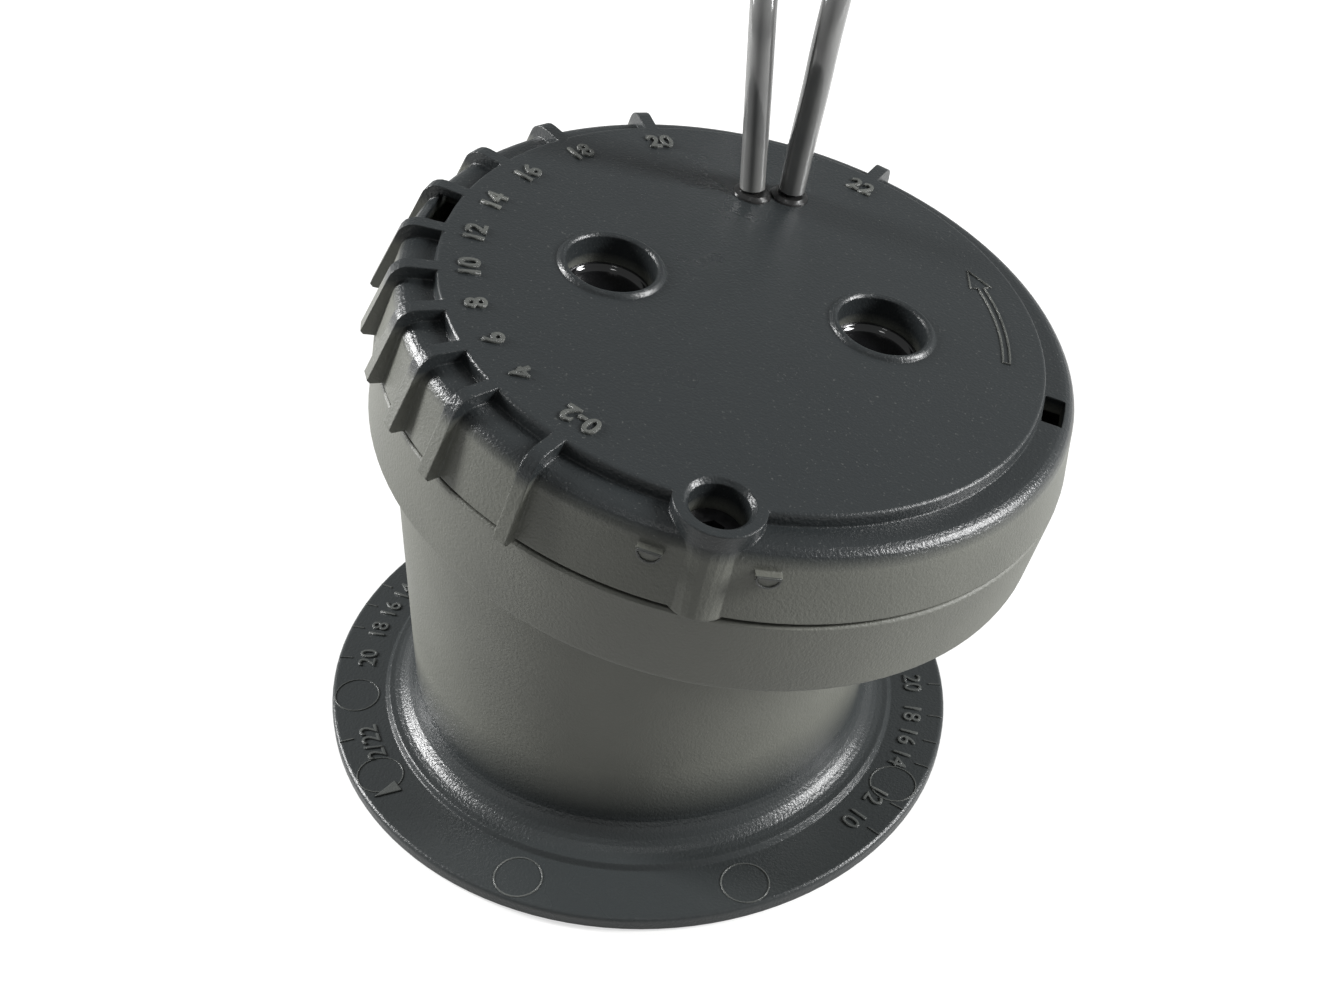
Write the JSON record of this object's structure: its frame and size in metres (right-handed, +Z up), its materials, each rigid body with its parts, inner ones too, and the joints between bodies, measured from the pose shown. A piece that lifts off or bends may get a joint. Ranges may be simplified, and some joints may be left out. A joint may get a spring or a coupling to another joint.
{
  "type": "in-hull depth transducer",
  "caption": "Flanged tank with a leaning, turning head that sets a depth transducer's beam upright, with lock screw, O-ring, potted sensor and two plug-ended cables.",
  "frame": {"origin": "middle of the tank's open mouth, in the plane of the hull that the flange is bonded to", "axes": "+Z up along the tank, +X the way the head leans"},
  "size_m": [0.1562, 0.1904, 0.1244],
  "materials": {
    "tank_plastic": "fine spark texture, matt black",
    "cap_plastic": "semi-gloss black",
    "seal_rubber": "greased black nitrile",
    "window_epoxy": "cast, flat ground",
    "piezo_ceramic": "silvered ceramic",
    "cork": "pressed cork",
    "potting": "glossy cast epoxy",
    "lead_sleeve": "red insulation",
    "screw_steel": "blackened stainless",
    "brass": "turned",
    "boot_rubber": "satin moulded",
    "cable_jacket": "glossy dark grey jacket",
    "tie_strap": "woven hook and loop strap",
    "plug_plastic": "moulded satin black"
  },
  "bodies": {
    "tank": {"tank": "tank_plastic", "cable_a": "cable_jacket", "cable_b": "cable_jacket", "coil_a": "cable_jacket", "coil_b": "cable_jacket", "coil_ties": "tie_strap", "plug_a_body": "plug_plastic", "plug_a_pins": "brass", "plug_a_boot": "boot_rubber", "plug_b_body": "plug_plastic", "plug_b_pins": "brass", "plug_b_boot": "boot_rubber"},
    "cap": {"cap_shell": "cap_plastic", "cap_o_ring": "seal_rubber", "sensor_housing": "cap_plastic", "acoustic_window": "window_epoxy", "piezo_disc": "piezo_ceramic", "cork_ring": "cork", "backing_disc": "cork", "potting_fill": "potting", "signal_leads": "lead_sleeve", "thread_insert": "brass", "cable_boot_a": "boot_rubber", "cable_boot_b": "boot_rubber"},
    "lock_screw": {"lock_screw": "screw_steel"},
    "plug_a_ring": {"plug_a_ring": "plug_plastic"},
    "plug_b_ring": {"plug_b_ring": "plug_plastic"}
  },
  "joints": [
    {"name": "dial_turn", "type": "hinge", "parent": "tank", "child": "cap", "pos_m": [0.00003, 0, 0.001], "axis": [0.1908, 0, 0.9816], "range_deg": [-125.75, 49]},
    {"name": "lock_screw_turn", "type": "hinge", "parent": "cap", "child": "lock_screw", "pos_m": [0.02988, -0.03972, 0.07384], "axis": [0.1908, 0, 0.9816], "continuous": true},
    {"name": "plug_a_ring_turn", "type": "hinge", "parent": "tank", "child": "plug_a_ring", "pos_m": [-0.0497, 0.0519, 0.0431], "axis": [0.9659, -0.2588, 0], "continuous": true},
    {"name": "plug_b_ring_turn", "type": "hinge", "parent": "tank", "child": "plug_b_ring", "pos_m": [-0.054, 0.0729, 0.0431], "axis": [0.9659, -0.2588, 0], "continuous": true}
  ]
}
